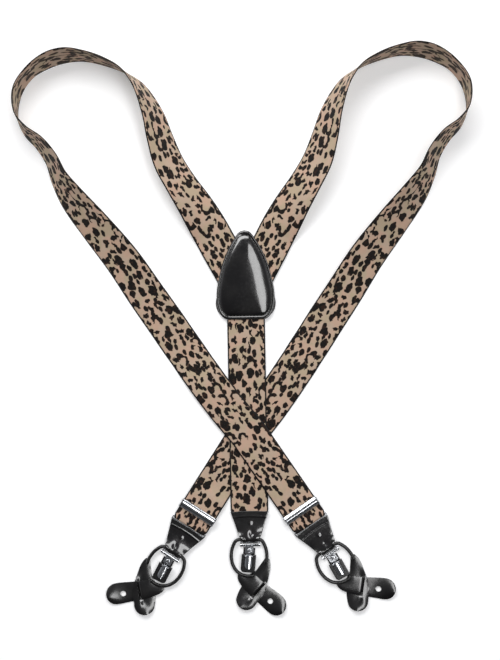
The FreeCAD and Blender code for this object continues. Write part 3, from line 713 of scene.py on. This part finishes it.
def finish_node(node, material, edge=0.2):
    """Gives a CAD node its finish, and rounds its sharp edges by so many millimetres."""
    piece = bpy.data.objects[node]
    piece.data.materials.clear()
    piece.data.materials.append(material)
    if edge:
        rounding = piece.modifiers.new("rounded_edges", "BEVEL")
        rounding.width = edge * MM
        rounding.segments = 2
        rounding.limit_method = "ANGLE"
        rounding.angle_limit = math.radians(35)
        rounding.harden_normals = False
    return piece


finish_node("patch_lining", matte_leather(), 0.3)

# Leather tabs.
# One piece of patent leather folded round the chrome hanger and the rolled loop: its back layer
# lies under the strap's end, its front layer swells over the loop, and both are sewn at the top.

# down the strap, and height of the leather's middle
TAB_PROFILE = [(0.3, 0.55), (7.0, 0.55), (14.0, 0.5), (21.0, 0.48), (27.1, 0.48), (28.2, 0.97)]
TAB_PROFILE += [(28.63, 2.0), (28.15, 3.2), (27.55, 4.6), (26.7, 5.85), (25.0, 6.5), (22.5, 6.2)]
TAB_PROFILE += [(19.0, 5.35), (15.0, 4.25), (11.5, 3.68), (9.0, 3.52), (6.5, 3.5), (3.0, 3.5)]
TAB_PROFILE += [(-0.4, 3.5)]
TAB_HALVES = [(-1, 17.8), (0, 17.6), (4, 16.2), (9, 14.4), (13.5, 12.9), (19, 11.2), (22.6, 10.0)]
TAB_HALVES += [(23.6, 8.8), (24.8, 7.7), (28.7, 7.65)]
TAB_LEATHER = 0.85 * MM
TAB_BACK_INSET = 0.25
TAB_ARCH = (0.8, 4)
TAB_FRONT_FROM = 0.55
TAB_COLUMNS = 28
TAB_ROWS = 150


def table_value(rows, at):
    """The value at a place in rows of (place, value), in straight runs."""
    for (a, first), (b, second) in zip(rows, rows[1:]):
        if at <= b:
            return first + (second - first) * (at - a) / (b - a)
    return rows[-1][1]


def place_at(piece, end):
    """Carries a piece drawn about a tab's top edge, with the strap's end downwards."""
    origin, across, down = end_frame(end)
    matrix = Matrix((across, -down, UP)).transposed().to_4x4()
    matrix.translation = origin
    piece.data.transform(matrix)
    if end == "left":
        piece.data.flip_normals()
    piece.data.update()


def apply_modifiers(piece):
    bpy.ops.object.select_all(action="DESELECT")
    piece.select_set(True)
    bpy.context.view_layer.objects.active = piece
    for modifier in list(piece.modifiers):
        bpy.ops.object.modifier_apply(modifier=modifier.name)


def tab_height(down, up, share):
    """Height of the front layer: it swells in the middle and is pinched at its sides."""
    lift = max(up - 3.5, 0)
    pinch = smooth((22.5 - down) / 7.0)
    side = abs(share) ** 2.5
    crease = math.exp(-((share - 0.12) / 0.2) ** 2) * math.exp(-((down - 20.0) / 3.2) ** 2)
    crease_line = down - 3.6 - 1.2 * share * share
    tooled = 0.34 * math.exp(-(crease_line / 0.7) ** 2)
    dimple = 0.6 * math.exp(-((share - 0.03) / 0.08) ** 2 - ((down - 10.0) / 1.6) ** 2)
    flare = 0.5 * smooth((abs(share) - 0.55) / 0.3) * math.exp(-((down - 24.6) / 1.5) ** 2)
    return up - lift * side * 0.8 * pinch - crease * 0.75 + tooled + dimple + flare


def tab_piece(name):
    bpy.ops.object.select_all(action="DESELECT")
    bpy.ops.mesh.primitive_grid_add(x_subdivisions=TAB_COLUMNS, y_subdivisions=TAB_ROWS, size=2)
    tab = active_mesh(name)
    knots = distances(TAB_PROFILE, 2)
    for vertex in tab.data.vertices:
        share, way = vertex.co.x, (vertex.co.y + 1) / 2
        down, up = curve_at(TAB_PROFILE, knots, knots[-1] * way)
        front = way > TAB_FRONT_FROM
        half = table_value(TAB_HALVES, down) - (0 if front else TAB_BACK_INSET)
        if front:
            up = tab_height(down, up, share)
        arch = (1 - share * share) * TAB_ARCH[0] * smooth((TAB_ARCH[1] - down) / TAB_ARCH[1])
        vertex.co = Vector((share * half, -down + arch, up)) * MM
    thick = tab.modifiers.new("thickness", "SOLIDIFY")
    thick.thickness = TAB_LEATHER
    thick.offset = 0
    thick.use_even_offset = False
    rounding = tab.modifiers.new("rounded", "BEVEL")
    rounding.width = 0.3 * MM
    rounding.segments = 2
    rounding.limit_method = "ANGLE"
    rounding.angle_limit = math.radians(50)
    apply_modifiers(tab)
    bpy.ops.object.shade_smooth()
    bpy.ops.object.select_all(action="DESELECT")
    return tab, knots[-1] * MM


TAB_BODY = {"back": "webbing", "left": "front_end_left", "right": "front_end_right"}
for end in ENDS:
    tab, tab_length = tab_piece("tab_" + end)
    place_at(tab, end)
    tab.data.materials.append(patent)
    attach(tab, TAB_BODY[end])
    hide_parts("tab_leather_" + end)

# Rolled loops.
# A strip of leather rolled round a core and sewn along its inner side, passed through the tab's
# eye.  One end runs into each button ear.

CORD_R = 1.66 * MM
CORD_UP = 4.2
LOOP_LINE = [(3.2, 58.9), (-2.9, 59.4), (-8.8, 57.6), (-13.6, 53.6), (-16.5, 48.2), (-17.3, 44.9)]
LOOP_LINE += [(-17.7, 41.5), (-17.6, 38.2), (-17.1, 34.8), (-16.1, 31.5), (-13.9, 27.1)]
LOOP_LINE += [(-11.8, 25.6), (-9.3, 25.0), (-1.2, 25.0), (6.9, 25.0), (9.4, 25.6), (11.5, 27.1)]
LOOP_LINE += [(13.7, 31.5), (14.7, 34.8), (15.2, 38.2), (15.3, 41.5), (14.9, 44.9), (14.1, 48.2)]
LOOP_SINK = math.tan(math.radians(2.25))
ROLL_STATIONS = 110
ROLL_SIDES = 20


def rolled_leather():
    """Black leather with a row of small stitches, and cross wrinkles, along the roll."""
    shine = {"Coat_Weight": 0.35, "Coat_Roughness": 0.12}
    material = plain_material("rolled_leather", srgb(13, 12, 12), 0.3, **shine)
    p = Pattern(material)
    place = p.add("UVMap", uv_map="roll").outputs[0]
    parts = p.add("SeparateXYZ", {"Vector": place})
    step = p.math("FRACT", p.math("MULTIPLY", parts.outputs[1], 90))
    stitch = p.ramp(p.math("ABSOLUTE", p.math("SUBTRACT", step, 0.5)), 0.38, 0.22)
    off_seam = p.math("ABSOLUTE", p.math("SUBTRACT", parts.outputs[0], 0.5))
    thread = p.math("MULTIPLY", stitch, p.ramp(off_seam, 0.075, 0.05))
    squeezed = p.vector("MULTIPLY", place, (2, 120, 1))
    wrinkle = p.add("TexNoise", {"Vector": squeezed, "Scale": 1.5, "Detail": 3.0})
    tone = p.mix(p.ramp(wrinkle.outputs[0], 0.3, 0.7), srgb(10, 9, 9), srgb(20, 19, 19))
    colour = p.mix(p.math("MULTIPLY", thread, 0.5), tone, srgb(58, 56, 55))
    p.put(colour, p.shader.inputs["Base Color"])
    p.put(p.ramp(wrinkle.outputs[0], 0.3, 0.8, 0.22, 0.45), p.shader.inputs["Roughness"])
    p.shader.inputs["Specular IOR Level"].default_value = 0.35
    p.bump(p.math("ADD", thread, p.math("MULTIPLY", wrinkle.outputs[0], 0.6)), 0.5, 0.0003)
    return material


rolled = rolled_leather()


def outward_normals(piece):
    bpy.ops.object.select_all(action="DESELECT")
    piece.select_set(True)
    bpy.context.view_layer.objects.active = piece
    bpy.ops.object.mode_set(mode="EDIT")
    bpy.ops.mesh.select_all(action="SELECT")
    bpy.ops.mesh.normals_make_consistent(inside=False)
    bpy.ops.object.mode_set(mode="OBJECT")


def roll_piece(name):
    """A round tube with closed ends.  Its UV map runs round it, and along it."""
    knots = distances(LOOP_LINE, 2)
    stations, sides = ROLL_STATIONS, ROLL_SIDES
    vertices, faces, coordinates = [], [], []
    for station in range(stations + 1):
        way = station / stations
        at = knots[-1] * way
        here = Vector(curve_at(LOOP_LINE, knots, at))
        ahead = Vector(curve_at(LOOP_LINE, knots, min(at + 0.3, knots[-1])))
        behind = Vector(curve_at(LOOP_LINE, knots, max(at - 0.3, 0)))
        along = (ahead - behind).normalized()
        outward = Vector((-along.y, along.x))
        centre = Vector((here.x, -here.y, CORD_UP - (here.y - 25) * LOOP_SINK)) * MM
        near_end = min(at, knots[-1] - at)
        radius = CORD_R * (0.72 + 0.28 * smooth(near_end / 1.2))
        for side in range(sides):
            angle = 2 * math.pi * side / sides
            sideways = Vector((outward.x, -outward.y, 0)) * math.cos(angle)
            vertices.append(centre + (sideways + UP * math.sin(angle)) * radius)
    for station in range(stations):
        for side in range(sides):
            following = (side + 1) % sides
            a, b = station * sides, (station + 1) * sides
            faces.append((a + side, a + following, b + following, b + side))
            low, high = side / sides, (side + 1) / sides
            for u, v in ((low, station), (high, station), (high, station + 1), (low, station + 1)):
                coordinates.append((u, v / stations))
    first = list(range(sides))
    faces += [tuple(first[::-1]), tuple(stations * sides + side for side in first)]
    coordinates += [(0.2, 0)] * sides + [(0.2, 1)] * sides
    mesh = bpy.data.meshes.new(name)
    mesh.from_pydata(vertices, [], faces)
    layer = mesh.uv_layers.new(name="roll")
    for loop, pair in zip(layer.data, coordinates):
        loop.uv = pair
    mesh.polygons.foreach_set("use_smooth", [True] * len(mesh.polygons))
    roll = bpy.data.objects.new(name, mesh)
    bpy.context.collection.objects.link(roll)
    outward_normals(roll)
    return roll


for end in ENDS:
    roll = roll_piece("rolled_loop_" + end)
    place_at(roll, end)
    roll.data.materials.append(rolled)
    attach(roll, "button_loop_" + end)
    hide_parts("loop_cord_" + end)

# Button ears.
# Two flat tongues of patent leather cut to shape with rounded edges.  The second starts over the
# first, dives through its slit and comes out below, so the two lie crossed.

EAR_THICK = 1.6
EAR_STEP = 1.9
CROSS = Vector((6.0, 73.0))
CROSS_TURN = math.radians(43)
CROSS_RAMP = 3.0
SLIT_HALF = (1.5, 9.4)
EAR_A = [(13.4, 43.6), (15.4, 43.2), (17.6, 44.0), (18.5, 47.5), (18.6, 51.0), (18.2, 54.5)]
EAR_A += [(17.4, 57.6), (15.6, 65.2), (13.4, 72.6), (10.0, 79.0), (5.4, 84.4), (1.6, 88.8)]
EAR_A += [(-3.4, 90.8), (-8.6, 89.7), (-12.2, 86.4), (-13.9, 82.0), (-13.2, 78.0), (-10.2, 71.6)]
EAR_A += [(-6.6, 66.0), (-3.0, 60.5), (0.6, 57.0), (5.0, 54.5), (8.0, 50.8), (10.6, 47.4)]
EAR_B = [(-12.0, 57.6), (-8.0, 59.0), (-3.6, 60.0), (0.4, 59.6), (4.0, 58.8), (8.4, 62.6)]
EAR_B += [(12.6, 66.4), (17.6, 70.2), (22.6, 73.9), (27.6, 77.8), (31.5, 82.2), (32.6, 87.4)]
EAR_B += [(30.6, 92.6), (26.0, 96.0), (21.0, 96.4), (16.6, 94.2), (11.2, 89.2), (5.8, 84.0)]
EAR_B += [(0.3, 78.9), (-3.3, 74.9), (-7.2, 70.2), (-10.2, 66.0), (-12.0, 61.8)]
BUTTON_HOLE = (17.8, 83.2)
BUTTON_HOLE_R = 2.5
TIPS = {"over": (-11.5, 88.0), "under": (29.0, 94.0)}
TIP_CURL = 3.4
CURL_REACH = 22
RIM_DROP = 0.75
RIM_REACH = 2.6
EAR_POINTS = 96
RIM_POINTS = 200


def cut(piece, cutter):
    """Takes the cutter's shape out of the piece, and removes the cutter."""
    boolean = piece.modifiers.new("cut", "BOOLEAN")
    boolean.operation = "DIFFERENCE"
    boolean.solver = "EXACT"
    boolean.object = cutter
    bpy.ops.object.select_all(action="DESELECT")
    piece.select_set(True)
    bpy.context.view_layer.objects.active = piece
    bpy.ops.object.modifier_apply(modifier=boolean.name)
    bpy.data.objects.remove(cutter)


def ear_piece(name, corners, first, second, cutter, fan):
    """A flat tongue at one level before the crossing and another after it.  The change of
    level widens beyond the slit."""
    loop = corners + corners[:1]
    knots = distances(loop, 2)
    bpy.ops.object.select_all(action="DESELECT")
    bpy.ops.mesh.primitive_circle_add(vertices=EAR_POINTS, radius=1, fill_type="NGON")
    ear = active_mesh(name)
    for vertex in ear.data.vertices:
        down_at = curve_at(loop, knots, knots[-1] * vertex.index / EAR_POINTS)
        vertex.co = (down_at[0] * MM, -down_at[1] * MM, 0)
    heading = Vector((math.cos(CROSS_TURN), -math.sin(CROSS_TURN), 0))
    crossing = Vector((CROSS.x, -CROSS.y, 0)) * MM
    bpy.ops.object.mode_set(mode="EDIT")
    sideways = Vector((heading.y, -heading.x, 0))
    cuts = [(heading, 0.4 * step) for step in range(-4, 5)]
    cuts += [(heading, 1.7 * step) for step in range(-19, 20) if abs(step) > 1]
    cuts += [(sideways, 1.7 * step) for step in range(-19, 20)]
    for direction, distance in cuts:
        bpy.ops.mesh.select_all(action="SELECT")
        bpy.ops.mesh.bisect(plane_co=crossing + direction * distance * MM, plane_no=direction)
    bpy.ops.mesh.select_all(action="SELECT")
    bpy.ops.mesh.extrude_region_move(TRANSFORM_OT_translate={"value": (0, 0, EAR_THICK * MM)})
    bpy.ops.mesh.select_all(action="SELECT")
    bpy.ops.mesh.normals_make_consistent(inside=False)
    bpy.ops.object.mode_set(mode="OBJECT")
    cut(ear, cutter)
    rounding = ear.modifiers.new("rounded", "BEVEL")
    rounding.width = 0.5 * MM
    rounding.segments = 3
    rounding.limit_method = "ANGLE"
    rounding.angle_limit = math.radians(60)
    apply_modifiers(ear)
    rim = [curve_at(loop, knots, knots[-1] * i / RIM_POINTS) for i in range(RIM_POINTS)]
    rim = [Vector((across, -down)) * MM for across, down in rim]
    tip_across, tip_down = TIPS[name.split("_")[1]]
    tip = Vector((tip_across, -tip_down)) * MM
    for vertex in ear.data.vertices:
        flat = vertex.co.xy
        way = (flat - crossing.xy).dot(heading.xy) / MM
        beyond = abs((flat - crossing.xy).dot(sideways.xy)) / MM - SLIT_HALF[1]
        share = smooth(way / (CROSS_RAMP + fan * max(beyond, 0)) + 0.5)
        inside = min((flat - spot).length for spot in rim) / MM
        thinning = RIM_DROP * math.exp(-inside / RIM_REACH) * vertex.co.z / (EAR_THICK * MM)
        from_tip = (flat - tip).length / MM
        curl = TIP_CURL * max((CURL_REACH - from_tip) / CURL_REACH, 0) ** 2
        vertex.co.z += (first + (second - first) * share - thinning + curl) * MM
    bpy.ops.object.shade_smooth_by_angle(angle=math.radians(30))
    return ear


def slit_cutter():
    bpy.ops.mesh.primitive_cube_add(size=2, location=(CROSS.x * MM, -CROSS.y * MM, 0))
    cutter = bpy.context.object
    cutter.scale = (SLIT_HALF[0] * MM, SLIT_HALF[1] * MM, 10 * MM)
    cutter.rotation_euler = (0, 0, -CROSS_TURN)
    return cutter


def hole_cutter():
    place = (BUTTON_HOLE[0] * MM, -BUTTON_HOLE[1] * MM, 0)
    size = {"vertices": 40, "radius": BUTTON_HOLE_R * MM, "depth": 20 * MM}
    bpy.ops.mesh.primitive_cylinder_add(location=place, **size)
    return bpy.context.object


def cut_size(corners, removed):
    """Width, length and area of the flat tongue, in metres, less what is cut out of it."""
    area = 0.0
    for (x, y), (next_x, next_y) in zip(corners, corners[1:] + corners[:1]):
        area += (x * next_y - next_x * y) / 2
    turn = math.atan2(corners[-1][1] - corners[0][1], corners[-1][0] - corners[0][0])
    best = None
    for degrees in range(0, 180, 2):
        angle = turn + math.radians(degrees)
        along = [x * math.cos(angle) + y * math.sin(angle) for x, y in corners]
        across = [y * math.cos(angle) - x * math.sin(angle) for x, y in corners]
        size = (max(across) - min(across), max(along) - min(along))
        if best is None or size[0] < best[0]:
            best = size
    return (best[0] * MM, best[1] * MM), (abs(area) - removed) * MM * MM


SLIT_AREA = 4 * SLIT_HALF[0] * SLIT_HALF[1]
HOLE_AREA = math.pi * BUTTON_HOLE_R**2
ear_leather = patent_leather("ear_leather", 1.6, 0.22)
for end in ENDS:
    over = ear_piece("ear_over_" + end, EAR_A, 0.0, EAR_STEP, slit_cutter(), 1.6)
    under = ear_piece("ear_under_" + end, EAR_B, EAR_STEP, 0.0, hole_cutter(), 0)
    cuts = ((over, "ear_a_", EAR_A, SLIT_AREA), (under, "ear_b_", EAR_B, HOLE_AREA))
    for ear, node, corners, removed in cuts:
        place_at(ear, end)
        ear.data.materials.clear()
        ear.data.materials.append(ear_leather)
        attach(ear, "button_loop_" + end)
        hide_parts(node + end)
        flat, area = cut_size(corners, removed)

# Metalwork.
# Hangers, loop plates and adjuster plates are polished chrome; the clips are pressed steel in
# black enamel with a bright lever; pins and adjuster frames are plain steel; the pads are rubber.


def bright_chrome():
    """Mirror chrome, faintly clouded, with hairline scratches."""
    material = plain_material("bright_chrome", srgb(226, 228, 231), 0.1, Metallic=1.0)
    p = Pattern(material)
    place = p.add("TexCoord").outputs["Object"]
    clouds = p.add("TexNoise", {"Vector": place, "Scale": 260.0, "Detail": 4.0})
    hairlines = p.vector("MULTIPLY", place, (300, 9000, 3000))
    lines = p.add("TexNoise", {"Vector": hairlines, "Scale": 1.0, "Detail": 2.0})
    p.put(p.ramp(clouds.outputs[0], 0.35, 0.75, 0.07, 0.24), p.shader.inputs["Roughness"])
    tone = p.mix(p.ramp(clouds.outputs[0], 0.4, 0.7), srgb(230, 232, 235), srgb(206, 209, 214))
    p.put(tone, p.shader.inputs["Base Color"])
    p.bump(lines.outputs[0], 0.08, 0.0001)
    return material


def black_enamel():
    """Baked black paint with a slight orange-peel skin, worn grey in places."""
    material = plain_material("black_enamel", srgb(14, 14, 15), 0.28, Coat_Weight=0.6, Coat_Roughness=0.1)
    p = Pattern(material)
    place = p.add("TexCoord").outputs["Object"]
    skin = p.add("TexNoise", {"Vector": place, "Scale": 1400.0, "Detail": 1.0})
    wear = p.add("TexNoise", {"Vector": place, "Scale": 700.0, "Detail": 5.0, "Roughness": 0.75})
    worn = p.ramp(wear.outputs[0], 0.72, 0.8)
    p.put(p.mix(worn, srgb(14, 14, 15), srgb(92, 90, 88)), p.shader.inputs["Base Color"])
    p.put(p.ramp(wear.outputs[0], 0.35, 0.8, 0.2, 0.36), p.shader.inputs["Roughness"])
    p.bump(skin.outputs[0], 0.08, 0.0002)
    return material


def brushed_steel():
    """Plain steel, brushed along its length."""
    material = plain_material("brushed_steel", srgb(176, 177, 180), 0.35, Metallic=1.0)
    p = Pattern(material)
    place = p.add("TexCoord").outputs["Object"]
    brushed = p.vector("MULTIPLY", place, (200, 8000, 8000))
    grain = p.add("TexNoise", {"Vector": brushed, "Scale": 1.0, "Detail": 3.0})
    p.put(p.ramp(grain.outputs[0], 0.3, 0.7, 0.26, 0.5), p.shader.inputs["Roughness"])
    p.put(p.mix(grain.outputs[0], srgb(150, 151, 155), srgb(198, 199, 202)), p.shader.inputs["Base Color"])
    p.bump(grain.outputs[0], 0.15, 0.0001)
    return material


def grip_rubber():
    """Dull black rubber with a fine moulded texture."""
    material = plain_material("grip_rubber", srgb(30, 30, 31), 0.85)
    p = Pattern(material)
    place = p.add("TexCoord").outputs["Object"]
    grain = p.add("TexNoise", {"Vector": place, "Scale": 2500.0, "Detail": 2.0})
    p.put(p.mix(grain.outputs[0], srgb(22, 22, 23), srgb(44, 43, 43)), p.shader.inputs["Base Color"])
    p.bump(grain.outputs[0], 0.5, 0.0002)
    return material


chrome = bright_chrome()
enamel = black_enamel()
steel = brushed_steel()
rubber = grip_rubber()
for end in ENDS:
    finish_node("clip_hanger_" + end, chrome, 0.55)
    finish_node("clip_rivet_" + end, chrome, 0.25)
    finish_node("clip_lever_" + end, chrome, 0.3)
    finish_node("clip_base_" + end, enamel, 0.15)
    finish_node("clip_jaw_" + end, enamel, 0)
    finish_node("clip_pin_" + end, steel, 0.15)
    finish_node("clip_pad_" + end, rubber, 0.1)
for end in FRONTS:
    finish_node("loop_plate_" + end, chrome, 0.2)
    finish_node("adjuster_plate_" + end, chrome, 0.12)
    finish_node("adjuster_frame_" + end, steel, 0.12)
    finish_node("adjuster_pin_" + end, steel, 0.1)

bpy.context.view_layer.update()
